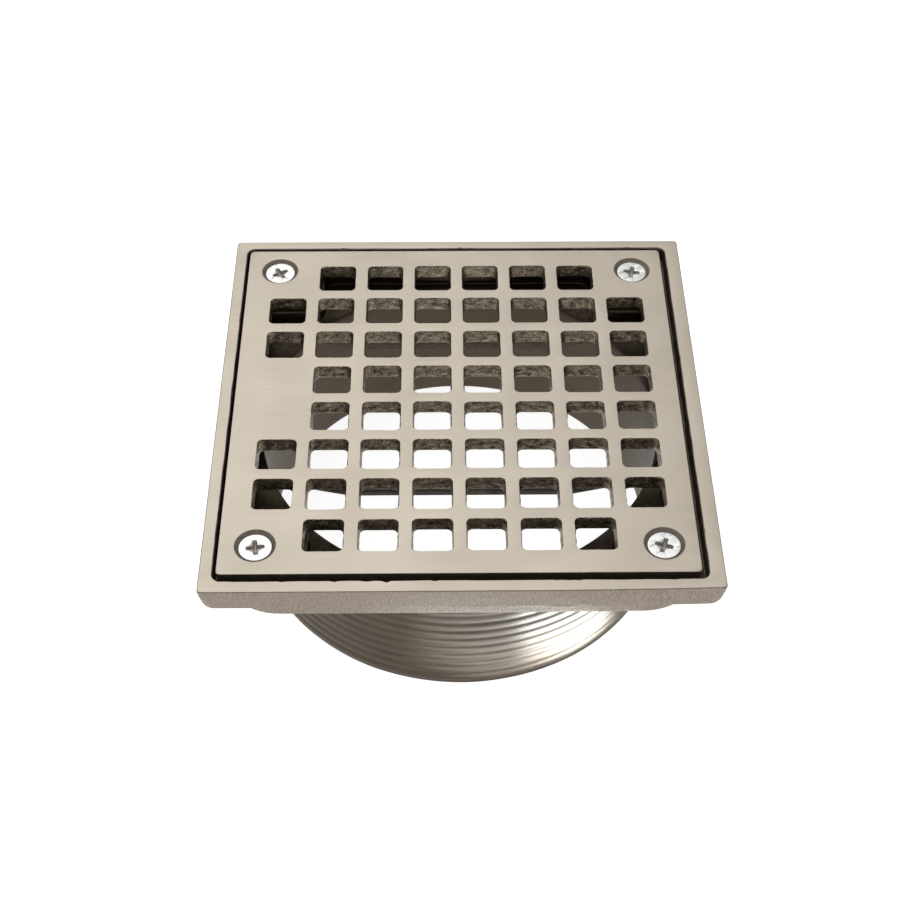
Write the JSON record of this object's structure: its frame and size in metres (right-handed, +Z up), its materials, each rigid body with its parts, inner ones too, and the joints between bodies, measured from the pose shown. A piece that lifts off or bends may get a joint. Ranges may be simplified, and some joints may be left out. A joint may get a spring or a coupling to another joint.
{
  "type": "floor drain strainer",
  "caption": "Square floor drain strainer with a screwed-down grate of square openings on a threaded round shank.",
  "frame": {"origin": "centre of the shank's bottom end, under the middle of the square frame", "axes": "+Z up along the shank's axis to the finished floor, -Y to the front, -X towards the grate's blank pad"},
  "size_m": [0.127, 0.127, 0.0482],
  "materials": {
    "body_bronze": "satin nickel bronze, as cast below the flange",
    "grate_bronze": "satin nickel bronze, brushed top, as-cast walls",
    "screw_steel": "bright stainless steel"
  },
  "bodies": {
    "frame": {"strainer_body": "body_bronze"},
    "grate": {"grate": "grate_bronze"},
    "screw_front_left": {"screw_front_left": "screw_steel"},
    "screw_front_right": {"screw_front_right": "screw_steel"},
    "screw_back_left": {"screw_back_left": "screw_steel"},
    "screw_back_right": {"screw_back_right": "screw_steel"}
  },
  "joints": [
    {"name": "grate_lift", "type": "slide", "parent": "frame", "child": "grate", "axis": [0, 0, 1], "range_m": [0, 0.05]},
    {"name": "screw_front_left_lift", "type": "slide", "parent": "grate", "child": "screw_front_left", "axis": [0, 0, 1], "range_m": [0, 0.02]},
    {"name": "screw_front_right_lift", "type": "slide", "parent": "grate", "child": "screw_front_right", "axis": [0, 0, 1], "range_m": [0, 0.02]},
    {"name": "screw_back_left_lift", "type": "slide", "parent": "grate", "child": "screw_back_left", "axis": [0, 0, 1], "range_m": [0, 0.02]},
    {"name": "screw_back_right_lift", "type": "slide", "parent": "grate", "child": "screw_back_right", "axis": [0, 0, 1], "range_m": [0, 0.02]}
  ]
}
